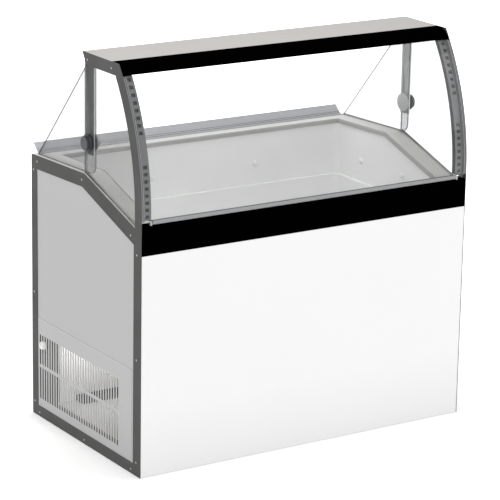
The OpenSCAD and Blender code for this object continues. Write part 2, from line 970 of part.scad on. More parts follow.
// Steel top that folds down at the rear
module canopy_top() {
    lean = canopy_rear_lean * (canopy_h - canopy_sheet) / canopy_h;
    half = half_w - post_t;
    color("#c8c5c0") {
        across(-half, half)
            translate([canopy_steel_y, canopy_top_z - canopy_sheet])
                square([canopy_rear_y - canopy_steel_y - 0.6, canopy_sheet]);
        across(-canopy_inner_half, canopy_inner_half)
            polygon([[canopy_rear_y - 0.6, canopy_top_z - canopy_sheet],
                [canopy_rear_y - lean - 0.6, canopy_low_z], [canopy_rear_y - lean - 2.6, canopy_low_z],
                [canopy_rear_y - 3, canopy_top_z - canopy_sheet + tiny]]);
    }
}

module canopy_fascia() {
    lip = 30;
    color("#050505") {
        across(-half_w + post_t, half_w - post_t)
            union() {
                curved_strip(0, fascia_t, fascia_low_z, nose_tangent[1] + 4);
                intersection() {
                    translate([nose_y, nose_z])
                        difference() {
                            circle(r = nose_r, $fn = 96);
                            circle(r = nose_r - fascia_t, $fn = 96);
                        }
                    polygon([[nose_y, nose_z], nose_tangent + nose_out * nose_dir,
                        [nose_y - nose_out, nose_z + nose_out], [nose_y + tiny, nose_z + nose_out]]);
                }
                translate([nose_y, canopy_top_z - fascia_t])
                    square([canopy_steel_y - nose_y, fascia_t]);
            }
        across(-half_w + flange_w, half_w - flange_w)
            translate([fascia_low_y + fascia_t / 2, fascia_low_z])
                square([lip, fascia_t]);
    }
}

module canopy_soffit() {
    lean = canopy_rear_lean * (canopy_h - canopy_sheet) / canopy_h;
    color("#bdbcb8")
        difference() {
            block([-canopy_inner_half, post_lean + 26, canopy_low_z],
                [canopy_inner_half, canopy_rear_y - lean - 2.6, canopy_low_z + canopy_sheet]);
            switch_hole(moving_gap);
        }
}

module switch_hole(gap) {
    block([switch_x - switch_half[0] - gap, switch_y - switch_half[1] - gap, canopy_low_z - 1],
        [switch_x + switch_half[0] + gap, switch_y + switch_half[1] + gap, canopy_low_z + canopy_sheet + 1]);
}

// ---- Canopy lamp and its switch ----

lamp_r = 6;
lamp_y = post_lean + 110;
lamp_z = canopy_low_z - 10;
lamp_half = half_w - 120;

module lamp_tube() {
    color("#f4f4ee")
        rod(-lamp_half, lamp_half, lamp_y, lamp_z, lamp_r);
}

module lamp_sockets() {
    length = 24;
    wall = 4;
    color("#e2e2df")
        for (s = [0, 1])
            mirror([s, 0, 0])
                difference() {
                    block([lamp_half - 12, lamp_y - lamp_r - wall, lamp_z - lamp_r - wall],
                        [lamp_half - 12 + length, lamp_y + lamp_r + wall, canopy_low_z]);
                    rod(lamp_half - 13, lamp_half, lamp_y, lamp_z, lamp_r);
                }
}

// Switch housing inside the canopy, open below for the rocker
module switch_body() {
    wall = 2;
    high = 16;
    gap = moving_gap;
    low = canopy_low_z + canopy_sheet;
    color("#1d1d1d")
        difference() {
            block([switch_x - switch_half[0] - wall, switch_y - switch_half[1] - 2 * wall, low],
                [switch_x + switch_half[0] + wall, switch_y + switch_half[1] + 2 * wall, low + high]);
            block([switch_x - switch_half[0] - gap, switch_y - switch_half[1] - gap, low - 1],
                [switch_x + switch_half[0] + gap, switch_y + switch_half[1] + gap, low + high - wall]);
            rod(switch_x - rocker_pin_half - 0.1, switch_x + rocker_pin_half + 0.1, switch_y,
                low + rocker_rise, rocker_pin_r + running_clearance);
        }
}

module switch_rocker() {
    low = canopy_low_z + canopy_sheet;
    color("#b02020")
        union() {
            across(switch_x - switch_half[0] + 0.5, switch_x + switch_half[0] - 0.5)
                difference() {
                    translate([switch_y, low + rocker_rise]) circle(r = rocker_r);
                    translate([switch_y - 10, low + rocker_rise + 2.5]) square([20, 10]);
                }
            rod(switch_x - rocker_pin_half, switch_x + rocker_pin_half, switch_y,
                low + rocker_rise, rocker_pin_r);
        }
}

// ---- Side panes ----

module front_pane_2d() {
    heel_y = band_shelf + 2;
    difference() {
        intersection() {
            front_envelope();
            translate([0, front_z])
                square([pane_overlap_rear, pane_top_z - front_z]);
            union() {
                translate([arc_r, arc_z])
                    circle(r = arc_r - pane_front_in, $fn = 720);
                translate([heel_y, 0])
                    square([canopy_rear_y, band_top_z]);
            }
        }
        square([heel_y, band_top_z + 1]);
        polygon([[0, 0], [canopy_rear_y, 0], [canopy_rear_y, bend_z + pane_foot],
            [bend_y, bend_z + pane_foot], [0, front_z + pane_foot]]);
        clamp_hole();
    }
}

module clamp_hole() {
    translate([clamp_y, clamp_z])
        circle(r = clamp_hole_r, $fn = 48);
}

module front_pane() {
    color("#cfe3e6", 0.3)
        left_layer(front_pane_x, glass_t) front_pane_2d();
}

module left_front_pane() {
    front_pane();
}

module right_front_pane() {
    mirrored() front_pane();
}

// Rear edge of the rear pane, from the ledge rail to the canopy
pane_rear_foot = ledge_y - ledge_flange + 1;
pane_rear_top = canopy_rear_y - canopy_rear_lean - 1;
rear_pane_z = bend_z + 2;

module rear_pane_2d() {
    foot_z = deck_z(pane_rear_foot) + 1;
    r = pane_corner_r;
    difference() {
        union() {
            polygon([[pane_overlap_front, rear_pane_z + r], [pane_overlap_front + r, rear_pane_z],
                [bend_y, rear_pane_z], [pane_rear_foot, foot_z], [pane_rear_top, pane_top_z],
                [pane_overlap_front, pane_top_z]]);
            translate([pane_overlap_front + r, rear_pane_z + r]) circle(r = r, $fn = 96);
        }
        clamp_hole();
    }
}

module rear_pane() {
    color("#b9c6c8", 0.35)
        left_layer(rear_pane_x, glass_t) rear_pane_2d();
}

module left_rear_pane() {
    rear_pane();
}

module right_rear_pane() {
    mirrored() rear_pane();
}

// Aluminium channel on the sloping deck that holds the front pane's lower edge
module pane_channel() {
    y0 = band_shelf + 4;
    y1 = bend_y - 2;
    inner = front_pane_x + glass_t;
    color("#85878a") {
        left_layer(front_pane_x - channel_t + 0.1, glass_t + 2 * channel_t - 0.2)
            deck_strip(y0, y1, 0, pane_foot);
        left_layer(front_pane_x - channel_t + 0.1, channel_t - 0.1)
            deck_strip(y0, y1, 0, channel_h);
        left_layer(inner, channel_t - 0.1)
            deck_strip(y0, y1, 0, channel_h);
    }
}

module deck_strip(y0, y1, low, high) {
    polygon([[y0, deck_z(y0) + low], [y1, deck_z(y1) + low],
        [y1, deck_z(y1) + high], [y0, deck_z(y0) + high]]);
}

module left_pane_channel() {
    pane_channel();
}

module right_pane_channel() {
    mirrored() pane_channel();
}

// ---- Clamps through the overlapping panes ----

knob_face = pane_inset - moving_gap - clamp_knob_t;
knob_cap = 5;
stud_out = knob_face + knob_cap + moving_gap;

module clamp_disc() {
    color("#a5a6a8") {
        left_side_turn(pane_stack)
            cylinder(r1 = clamp_disc_r, r2 = clamp_disc_r - 2, h = clamp_disc_t, $fn = 96);
        rod(-half_w + stud_out, -half_w + pane_stack + 1, clamp_y, clamp_z, clamp_stud_r);
    }
}

// Places a piece that grows inwards along X from an inset of the left side
module left_side_turn(inset) {
    translate([-half_w + inset, clamp_y - overall_d / 2, clamp_z])
        rotate([0, 90, 0])
            children();
}

module left_clamp_disc() {
    clamp_disc();
}

module right_clamp_disc() {
    mirrored() clamp_disc();
}

// Flat strips that fill the gap where the two panes of a side overlap, from the clamp up
module pane_joint_strips() {
    low_z = clamp_z - clamp_disc_r - 6;
    color("#6b6c6d")
        for (s = [0, 1])
            mirror([s, 0, 0])
                left_layer(front_pane_x + glass_t, pane_gap)
                    difference() {
                        translate([pane_overlap_front, low_z])
                            square([pane_overlap_rear - pane_overlap_front, canopy_low_z - low_z]);
                        clamp_hole();
                    }
}

// Fluted hand knob screwed onto the stud
module clamp_knob() {
    flutes = 12;
    flute_r = 3.5;
    flute_in = 1.4;
    bevel = 1.5;
    hub_r = clamp_knob_r - 5;
    rim_z = clamp_knob_t - clamp_rim_t;
    bore = clamp_stud_r + running_clearance;
    color("#3a3b3d")
        difference() {
            left_side_turn(knob_face)
                rotate_extrude($fn = 96)
                    polygon([[0, 0], [hub_r - bevel, 0], [hub_r, bevel], [hub_r, rim_z],
                        [clamp_knob_r - bevel, rim_z], [clamp_knob_r, rim_z + bevel],
                        [clamp_knob_r, clamp_knob_t - bevel], [clamp_knob_r - bevel, clamp_knob_t],
                        [0, clamp_knob_t]]);
            left_side_turn(knob_face + knob_cap)
                cylinder(r = bore, h = clamp_knob_t, $fn = 64);
            left_side_turn(knob_face - 1)
                for (i = [0 : flutes - 1])
                    rotate([0, 0, i * 360 / flutes])
                        translate([clamp_knob_r + flute_r - flute_in, 0, rim_z])
                            cylinder(r = flute_r, h = clamp_knob_t + 2, $fn = 32);
        }
}

module left_clamp_knob() {
    clamp_knob();
}

module right_clamp_knob() {
    mirrored() clamp_knob();
}

// ---- Rear ledge ----

// Aluminium rail along the back of the deck, leaning out over the rear panel
module rear_ledge_rail() {
    foot_z = deck_z(ledge_y);
    half = half_w - pane_stack - 2.5;
    wall = 2.5;
    rib = 1.6;
    slant = [ledge_lean - wall, ledge_rise - wall];
    color("#8f9398")
        across(-half, half)
            union() {
                polygon([[ledge_y - ledge_flange, deck_z(ledge_y - ledge_flange)], [ledge_y, foot_z],
                    [ledge_y + wall, foot_z], [ledge_y + ledge_lean, foot_z + ledge_rise - wall],
                    [ledge_y + ledge_lean - wall, foot_z + ledge_rise], [ledge_y - wall, foot_z + wall],
                    [ledge_y - ledge_flange, deck_z(ledge_y - ledge_flange) + wall]]);
                for (k = [0.18, 0.36])
                    translate([ledge_y, foot_z + wall] + k * slant)
                        circle(r = rib, $fn = 24);
            }
}

// ---- Machine room ----

// Fin block with tubes between two end plates
module condenser() {
    x1 = room_x + condenser_t;
    y1 = condenser_y + condenser_w;
    fins = 24;
    fin_t = 0.8;
    pitch = condenser_w / fins;
    rows = 8;
    margin = 16;
    row_pitch = (condenser_top_z - room_floor_z - 2 * margin) / (rows - 1);
    color("#232425") {
        for (i = [1 : fins - 1])
            block([room_x, condenser_y + i * pitch - fin_t / 2, room_floor_z + 4],
                [x1, condenser_y + i * pitch + fin_t / 2, condenser_top_z - 4]);
        for (y = [condenser_y, y1 - 2])
            block([room_x - 2, y, room_floor_z], [x1 + 2, y + 2, condenser_top_z]);
        for (k = [0 : rows - 1], side = [0.28, 0.72])
            translate(at(room_x + side * condenser_t, condenser_y, room_floor_z + margin + k * row_pitch))
                rotate([-90, 0, 0])
                    cylinder(r = 4, h = condenser_w, $fn = 24);
    }
}

// White inner wall at the back of the machine room
module air_baffle() {
    color("#f0f0ee")
        block([-skin_x + control_box_w + 1, wall_y, room_floor_z],
            [vent_x0 - 10, wall_y + sheet_t, room_top_z]);
}

// Black tray that catches and evaporates the drain water
module drip_tray() {
    wall = 1.5;
    length = 460;
    x0 = -skin_x + control_box_w + 60;
    color("#151515")
        difference() {
            block([x0, wall_y - tray_d, room_floor_z], [x0 + length, wall_y - 1, room_floor_z + tray_h]);
            block([x0 + wall, wall_y - tray_d + wall, room_floor_z + wall],
                [x0 + length - wall, wall_y - 1 - wall, room_floor_z + tray_h + 1]);
        }
}

// Black box in the rear corner that holds the relay and the terminals
module control_box() {
    color("#202122")
        block([-skin_x + 2, wall_y - 3, room_floor_z],
            [-skin_x + control_box_w, cabinet_d - 4, room_top_z - 14]);
}

module fan_shroud() {
    depth = 32;
    wall = 1.5;
    ring_r = fan_r + 4;
    color("#2e2f31")
        difference() {
            union() {
                block([shroud_x, condenser_y, room_floor_z],
                    [shroud_x + wall, condenser_y + condenser_w, condenser_top_z]);
                rod(shroud_x, shroud_x + depth, fan_y, fan_z, ring_r + wall);
            }
            rod(shroud_x - 1, shroud_x + depth + 1, fan_y, fan_z, ring_r);
        }
}

module fan_motor() {
    motor_r = 34;
    length = 54;
    arm_w = 14;
    arm_t = 2;
    arm_x = motor_x + 20;
    reach = fan_r + 20;
    color("#8d8f91") {
        rod(motor_x, motor_x + length, fan_y, fan_z, motor_r);
        rod(fan_x - 12, motor_x + 1, fan_y, fan_z, fan_shaft_r);
        block([arm_x, fan_y - reach, fan_z - arm_w / 2], [arm_x + arm_t, fan_y + reach, fan_z + arm_w / 2]);
        for (side = [-1, 1])
            block([shroud_x + 2, fan_y + side * reach - arm_t / 2, fan_z - arm_w / 2],
                [arm_x + arm_t, fan_y + side * reach + arm_t / 2, fan_z + arm_w / 2]);
        block([arm_x, fan_y - arm_w / 2, room_floor_z], [arm_x + arm_t, fan_y + arm_w / 2, fan_z]);
    }
}

module fan_blade() {
    hub_r = 24;
    hub_l = 18;
    blades = 5;
    pitch_angle = 28;
    chord = 62;
    blade_t = 1.6;
    color("#c9cacb")
        translate(at(fan_x, fan_y, fan_z))
            rotate([0, 90, 0])
                difference() {
                    union() {
                        translate([0, 0, -hub_l / 2]) cylinder(r = hub_r, h = hub_l);
                        intersection() {
                            for (i = [0 : blades - 1])
                                rotate([0, 0, i * 360 / blades])
                                    translate([hub_r - 3, 0, 0])
                                        rotate([pitch_angle, 0, 0])
                                            translate([0, -chord / 2, -blade_t / 2])
                                                cube([fan_r - hub_r + 6, chord, blade_t]);
                            translate([0, 0, -hub_l]) cylinder(r = fan_r, h = 2 * hub_l);
                        }
                    }
                    translate([0, 0, -hub_l]) cylinder(r = fan_shaft_r + running_clearance, h = 2 * hub_l);
                }
}

// Welded hermetic shell with its mounting plate
module compressor() {
    lift = 14;
    dome = 52;
    dome_r = 100;
    seam = 4;
    plate = [105, 75];
    plate_t = 3.5;
    rim = 10;
    cover = [34, 52, 56];
    cover_z = 50;
    body_h = compressor_h - dome;
    color("#161718")
        translate(at(compressor_x, compressor_y, room_floor_z + lift)) {
            rotate_extrude($fn = 96)
                union() {
                    translate([0, rim]) square([compressor_r, body_h - rim]);
                    square([compressor_r - 8, body_h]);
                    translate([0, body_h / 2 - seam]) square([compressor_r + seam, 2 * seam]);
                    intersection() {
                        translate([0, compressor_h - dome_r]) circle(r = dome_r, $fn = 128);
                        translate([0, body_h]) square([compressor_r, dome]);
                    }
                }
            translate([-plate[0], -plate[1], -3]) cube([2 * plate[0], 2 * plate[1], plate_t]);
            translate([compressor_r - 8, -cover[1] / 2, cover_z]) cube(cover);
        }
}

module compressor_feet() {
    spread = [90, 60];
    foot_r = [14, 11];
    foot_h = 11;
    color("#222222")
        for (x = [-spread[0], spread[0]], y = [-spread[1], spread[1]])
            translate(at(compressor_x + x, compressor_y + y, room_floor_z))
                cylinder(r1 = foot_r[0], r2 = foot_r[1], h = foot_h);
}

// Bracket and capsule behind the dial
module thermostat_body() {
    x0 = -half_w + 4;
    case = [17, 20];
    case_d = 30;
    ear = [20, 9];
    strap_half = 6;
    plate_t = 2;
    shaft_seat = 22;
    color("#1c1c1d")
        difference() {
            union() {
                block([x0, dial_y - case[0], dial_z - case[1]],
                    [x0 + case_d, dial_y + case[0], dial_z + case[1]]);
                block([x0, dial_y - ear[0], dial_z - ear[1]],
                    [x0 + plate_t, dial_y + ear[0], dial_z + ear[1]]);
                block([x0, dial_y - strap_half, dial_z],
                    [x0 + plate_t, dial_y + strap_half, louvre_top_z + 26]);
            }
            rod(x0 - 1, x0 + shaft_seat, dial_y, dial_z, dial_shaft_r + running_clearance);
        }
}

// White dial on the outside of the grille
module thermostat_knob() {
    out = -half_w + trim_t - sheet_t - moving_gap;
    mark_w = 2;
    mark_rise = 0.8;
    shaft_end = -half_w + 24;
    color("#f4f4f2") {
        translate([out - dial_depth, dial_y - overall_d / 2, dial_z])
            rotate([0, 90, 0])
                rotate_extrude($fn = 64)
                    polygon([[0, 0], [dial_r - 2, 0], [dial_r - 0.8, 1.2], [dial_r, dial_depth - 2],
                        [dial_r, dial_depth], [0, dial_depth]]);
        translate([out - dial_depth - mark_rise, dial_y - (overall_d + mark_w) / 2, dial_z])
            cube([1, mark_w, dial_r - 2.5]);
        rod(out - 1, shaft_end, dial_y, dial_z, dial_shaft_r);
    }
}

// Discharge line, suction line, and the drier with its capillary
module refrigerant_pipes() {
    line_r = 4;
    suction_r = 5.5;
    drier_r = 10;
    seat = 3;
    front_reach = 34;
    port_z = room_floor_z + 62;
    shell_y = compressor_y + compressor_r - seat;
    front_y = compressor_y - compressor_r + seat;
    core_y = condenser_y + condenser_w - seat;
    back_y = core_y + seat + 24;
    drier_x = room_x + condenser_t + 120;
    color("#b87333") {
        pipe([at(compressor_x, shell_y, port_z), at(compressor_x, back_y, port_z),
            at(room_x + 20, back_y, port_z), at(room_x + 20, core_y, port_z)], line_r);
        pipe([at(compressor_x + 30, front_y, port_z), at(compressor_x + 30, front_y - front_reach, port_z),
            at(compressor_x + 30, front_y - front_reach, room_top_z)], suction_r);
        pipe([at(drier_x, back_y + 20, room_floor_z + drier_r),
            at(drier_x + 90, back_y + 20, room_floor_z + drier_r)], drier_r);
    }
}

base_frame();
base_glides();
machine_floor();
left_side_panel();
right_side_panel();
left_service_grille();
left_side_trim();
right_side_trim();
trim_rivets();
power_inlet();
front_panel();
lower_band();
rear_panel();
rear_vent();
foam_insulation();
tub_liner();
wall_plugs();
evaporator_coil();
countertop();
breaker_strip();
drain_tube();
drain_plug();
left_post();
right_post();
glass_edge_beads();
glazing_strips();
front_glass();
glass_rail();
pivot_brackets();
canopy_top();
canopy_fascia();
canopy_soffit();
lamp_tube();
lamp_sockets();
switch_body();
switch_rocker();
left_front_pane();
right_front_pane();
left_rear_pane();
right_rear_pane();
left_pane_channel();
right_pane_channel();
left_clamp_disc();
right_clamp_disc();
pane_joint_strips();
left_clamp_knob();
right_clamp_knob();
rear_ledge_rail();
compressor();
compressor_feet();
condenser();
air_baffle();
drip_tray();
fan_shroud();
fan_motor();
fan_blade();
control_box();
thermostat_body();
thermostat_knob();
refrigerant_pipes();
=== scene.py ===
import math

import bpy
import numpy as np
from mathutils import Matrix, Vector


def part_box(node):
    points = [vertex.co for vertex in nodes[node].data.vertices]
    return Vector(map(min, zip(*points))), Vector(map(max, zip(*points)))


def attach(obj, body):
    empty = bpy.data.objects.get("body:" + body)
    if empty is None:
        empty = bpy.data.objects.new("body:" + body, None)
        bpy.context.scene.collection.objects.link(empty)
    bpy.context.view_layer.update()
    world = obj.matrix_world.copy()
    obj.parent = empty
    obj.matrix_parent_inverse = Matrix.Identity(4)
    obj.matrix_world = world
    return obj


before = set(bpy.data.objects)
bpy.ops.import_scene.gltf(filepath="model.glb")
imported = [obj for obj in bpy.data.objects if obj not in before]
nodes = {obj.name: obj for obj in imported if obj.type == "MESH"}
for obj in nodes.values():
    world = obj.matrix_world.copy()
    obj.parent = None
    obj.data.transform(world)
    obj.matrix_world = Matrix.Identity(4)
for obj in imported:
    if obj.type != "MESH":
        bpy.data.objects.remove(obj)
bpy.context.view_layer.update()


# ---- Floor, studio light and camera ----
# The cabinet stands on a seamless pale studio floor under a bright dome, with one large soft
# light in front on the left, a weaker one on the right and one above.
def mesh_piece(name, points, faces, smooth=False):
    """A new object in the scene from its points and faces."""
    mesh = bpy.data.meshes.new(name)
    mesh.from_pydata(points, [], faces)
    if smooth:
        mesh.polygons.foreach_set("use_smooth", [True] * len(mesh.polygons))
    piece = bpy.data.objects.new(name, mesh)
    bpy.context.scene.collection.objects.link(piece)
    return piece


def square_sheet(name, half):
    """A flat square on the ground, centred on the origin, with sides of twice half."""
    corners = [(-half, -half, 0.0), (half, -half, 0.0), (half, half, 0.0), (-half, half, 0.0)]
    return mesh_piece(name, corners, [(0, 1, 2, 3)])


def node_material(name):
    """An empty node material with its Principled shader, and a short way to add nodes and links."""
    material = bpy.data.materials.new(name)
    material.use_nodes = True
    tree = material.node_tree
    shader = tree.nodes["Principled BSDF"]

    def add(kind, *inputs, **settings):
        """Adds a node, sets its properties, then links or sets its (socket, value) inputs."""
        node = tree.nodes.new(kind)
        for key, value in settings.items():
            setattr(node, key, value)
        for socket, value in inputs:
            if isinstance(value, bpy.types.NodeSocket):
                tree.links.new(value, node.inputs[socket])
            else:
                node.inputs[socket].default_value = value
        return node

    return material, tree, shader, add


def object_point(add, stretch=(1.0, 1.0, 1.0)):
    """The surface point in metres, stretched so that a pattern can run along one direction."""
    where = add("ShaderNodeTexCoord").outputs["Object"]
    return add("ShaderNodeMapping", ("Vector", where), ("Scale", stretch)).outputs["Vector"]


def spread(add, value, low, high, from_low=0.3, from_high=0.7):
    """Spreads a pattern's middle values over a range."""
    return add("ShaderNodeMapRange", ("Value", value), ("From Min", from_low), ("From Max", from_high),
               ("To Min", low), ("To Max", high)).outputs["Result"]


def shaded(add, colour, value, low, high):
    """A colour made darker and lighter by a pattern, from low to high times itself."""
    grey = spread(add, value, low, high)
    both = add("ShaderNodeCombineColor", ("Red", grey), ("Green", grey), ("Blue", grey)).outputs["Color"]
    mix = add("ShaderNodeMix", data_type="RGBA", blend_type="MULTIPLY")
    mix.inputs["Factor"].default_value = 1.0
    mix.inputs[6].default_value = (*colour, 1.0)
    mix.id_data.links.new(both, mix.inputs[7])
    return mix.outputs[2]


def studio_floor():
    """Pale seamless floor with a faint mottle. It glows a little, and more far behind the cabinet.
    The glow grows with the distance from the origin along the direction that the dot product gives."""
    material, tree, shader, add = node_material("studio_floor")
    point = object_point(add)
    mottle = add("ShaderNodeTexNoise", ("Vector", point), ("Scale", 1.5), ("Detail", 3.0)).outputs["Fac"]
    tree.links.new(shaded(add, (0.93, 0.93, 0.93), mottle, 0.985, 1.0), shader.inputs["Base Color"])
    shader.inputs["Roughness"].default_value = 0.9
    shader.inputs["Specular IOR Level"].default_value = 0.1
    shader.inputs["Emission Color"].default_value = (1.0, 1.0, 1.0, 1.0)
    behind = add("ShaderNodeVectorMath", (0, point), (1, (0.543, 0.840, 0.0)), operation="DOT_PRODUCT")
    glow = spread(add, behind.outputs["Value"], 0.24, 1.3, 1.2, 3.2)
    tree.links.new(glow, shader.inputs["Emission Strength"])
    return material


floor = square_sheet("studio_floor", 40)
floor.data.materials.append(studio_floor())

world = bpy.data.worlds.new("studio_dome")
world.use_nodes = True
world.node_tree.nodes["Background"].inputs["Color"].default_value = (1.0, 1.0, 1.0, 1.0)
world.node_tree.nodes["Background"].inputs["Strength"].default_value = 0.74
bpy.context.scene.world = world


def soft_light(name, place, target, size, power):
    """A square softbox that faces its target."""
    light = bpy.data.lights.new(name, "AREA")
    light.shape = "SQUARE"
    light.size = size
    light.energy = power
    lamp = bpy.data.objects.new(name, light)
    lamp.matrix_world = (Matrix.Translation(place)
                         @ (Vector(target) - Vector(place)).to_track_quat("-Z", "Y").to_matrix().to_4x4())
    bpy.context.scene.collection.objects.link(lamp)


soft_light("key_light", (-2.4, -4.6, 3.6), (0, 0, 0.6), 2.6, 40)
soft_light("fill_light", (3.8, -3.0, 2.4), (0, 0, 0.6), 2.6, 26)
soft_light("top_light", (0.0, 0.6, 4.2), (0, 0, 0.6), 3.0, 70)
# A weak panel inside the machine room lights what stands behind the service grille.
soft_light("machine_room_light", (-0.42, 0.17, 0.30), (-0.40, 0.27, 0.15), 0.18, 0.7)

CAMERA_PLACE = Vector((-4.187, -6.488, 2.770))
CAMERA_YAW, CAMERA_PITCH, CAMERA_ROLL = math.radians(32.92), math.radians(16.07), math.radians(1.03)
FOCAL_PER_WIDTH = 5.0312
SENSOR = 36.0
ahead = Vector((math.sin(CAMERA_YAW) * math.cos(CAMERA_PITCH),
                math.cos(CAMERA_YAW) * math.cos(CAMERA_PITCH), -math.sin(CAMERA_PITCH)))
level = Vector((math.cos(CAMERA_YAW), -math.sin(CAMERA_YAW), 0.0))
upright = level.cross(ahead)
right = math.cos(CAMERA_ROLL) * level + math.sin(CAMERA_ROLL) * upright
above = -math.sin(CAMERA_ROLL) * level + math.cos(CAMERA_ROLL) * upright
camera_data = bpy.data.cameras.new("camera")
camera_data.sensor_width = SENSOR
camera_data.lens = FOCAL_PER_WIDTH * SENSOR
camera_data.clip_end = 200.0
camera = bpy.data.objects.new("camera", camera_data)
camera_turn = Matrix((right, above, -ahead)).transposed().to_4x4()
camera.matrix_world = Matrix.Translation(CAMERA_PLACE) @ camera_turn
bpy.context.scene.collection.objects.link(camera)
bpy.context.scene.camera = camera
bpy.context.scene.view_settings.view_transform = "Standard"


# ---- Side panels, service grille and rear panel ----
# Folded sheet steel with a sprayed satin enamel. The spray leaves a fine orange peel and a very
# faint cloudiness, and the colour is made up to 7% darker towards the floor.
def enamel(name, colour, rough=0.42, peel=0.05, specular=0.35, cloud=0.018):
    """Sprayed enamel: a clouded colour, uneven gloss, and an orange peel bump of about 3 mm."""
    material, tree, shader, add = node_material(name)
    point = object_point(add)
    clouds = add("ShaderNodeTexNoise", ("Vector", point), ("Scale", 3.0), ("Detail", 4.0)).outputs["Fac"]
    grain = add("ShaderNodeTexNoise", ("Vector", point), ("Scale", 330.0), ("Detail", 2.0)).outputs["Fac"]
    height = add("ShaderNodeSeparateXYZ", ("Vector", point)).outputs["Z"]
    # The colour is made darker towards the bottom: up to 7% at the floor, fading out by 0.22 m.
    darker_near_floor = spread(add, height, 0.93, 1.0, 0.0, 0.22)
    clouded = shaded(add, colour, clouds, 1 - cloud, 1 + cloud)
    darkened_near_floor = add("ShaderNodeVectorMath", ("Vector", clouded), operation="SCALE")
    tree.links.new(darker_near_floor, darkened_near_floor.inputs["Scale"])
    tree.links.new(darkened_near_floor.outputs["Vector"], shader.inputs["Base Color"])
    tree.links.new(spread(add, clouds, rough - 2 * cloud, rough + 2 * cloud), shader.inputs["Roughness"])
    bump = add("ShaderNodeBump", ("Height", grain), ("Strength", peel), ("Distance", 0.0004))
    tree.links.new(bump.outputs["Normal"], shader.inputs["Normal"])
    shader.inputs["Specular IOR Level"].default_value = specular
    return material


def dress(material, *names):
    """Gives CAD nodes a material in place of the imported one."""
    for name in names:
        nodes[name].data.materials.clear()
        nodes[name].data.materials.append(material)


grey_enamel = enamel("grey_enamel", (0.48, 0.48, 0.48))
dress(grey_enamel, "left_side_panel", "right_side_panel", "rear_panel")
dress(enamel("grille_enamel", (0.485, 0.485, 0.485)), "left_service_grille")


# ---- Front panel ----
# One white sheet across the front, sprayed glossier than the sides. The white inner wall behind
# the machine room has the same kind of finish, only duller.
dress(enamel("white_enamel", (0.845, 0.845, 0.845), rough=0.3, peel=0.04, specular=0.15,
             cloud=0.004), "front_panel")
dress(enamel("inner_white", (0.86, 0.86, 0.85), rough=0.5), "air_baffle")


# ---- Side trims, posts and their rivets ----
# Dark powder coated steel: a fine grain that scatters light, rubbed a little lighter in places.
# Domed rivets hold the trims to the side panels. The hidden frame and the machines are coated too.
def powder_coat(name, colour, rough=0.55, grain_size=900.0, bump_strength=0.12, specular=0.3):
    """Powder coat: two sizes of grain in colour and bump, and patches rubbed a little smoother."""
    material, tree, shader, add = node_material(name)
    point = object_point(add)
    fine = add("ShaderNodeTexNoise", ("Vector", point), ("Scale", grain_size),
               ("Detail", 3.0)).outputs["Fac"]
    patches = add("ShaderNodeTexNoise", ("Vector", point), ("Scale", 9.0), ("Detail", 5.0)).outputs["Fac"]
    both = add("ShaderNodeMath", ("Value", fine), operation="ADD")
    tree.links.new(patches, both.inputs[1])
    half = add("ShaderNodeMath", ("Value", both.outputs[0]), operation="MULTIPLY")
    half.inputs[1].default_value = 0.5
    tree.links.new(shaded(add, colour, half.outputs[0], 0.93, 1.07), shader.inputs["Base Color"])
    tree.links.new(spread(add, patches, rough - 0.08, rough + 0.08), shader.inputs["Roughness"])
    bump = add("ShaderNodeBump", ("Height", fine), ("Strength", bump_strength), ("Distance", 0.0003))
    tree.links.new(bump.outputs["Normal"], shader.inputs["Normal"])
    shader.inputs["Specular IOR Level"].default_value = specular
    return material


dark_coat = powder_coat("dark_coat", (0.062, 0.062, 0.0605))
dress(dark_coat, "left_side_trim", "right_side_trim", "left_post", "right_post")
dress(powder_coat("frame_coat", (0.05, 0.05, 0.05)),
      "base_frame", "compressor", "condenser", "fan_shroud")
dress(powder_coat("motor_coat", (0.2, 0.2, 0.21)), "fan_motor")


# ---- Metals ----
# Brushed stainless steel on the canopy and the deck, satin anodised aluminium on the rails, the
# channels and the clamp discs, galvanised sheet on the machine room's floor and the rear vent,
# and copper pipes.
def brushed(name, colour, stretch, rough=0.32, streak=0.05, bump_strength=0.05, metal=1.0):
    """Brushed metal: noise drawn out into long hairlines, in gloss, colour and bump."""
    material, tree, shader, add = node_material(name)
    point = object_point(add, stretch)
    lines = add("ShaderNodeTexNoise", ("Vector", point), ("Scale", 700.0), ("Detail", 3.0)).outputs["Fac"]
    broad = add("ShaderNodeTexNoise", ("Vector", object_point(add)), ("Scale", 4.0),
                ("Detail", 3.0)).outputs["Fac"]
    tree.links.new(shaded(add, colour, lines, 1 - streak, 1 + streak), shader.inputs["Base Color"])
    rough_lines = add("ShaderNodeMath", ("Value", spread(add, lines, -0.05, 0.05)), operation="ADD")
    tree.links.new(spread(add, broad, rough - 0.03, rough + 0.04), rough_lines.inputs[1])
    tree.links.new(rough_lines.outputs[0], shader.inputs["Roughness"])
    bump = add("ShaderNodeBump", ("Height", lines), ("Strength", bump_strength), ("Distance", 0.0002))
    tree.links.new(bump.outputs["Normal"], shader.inputs["Normal"])
    shader.inputs["Metallic"].default_value = metal
    return material


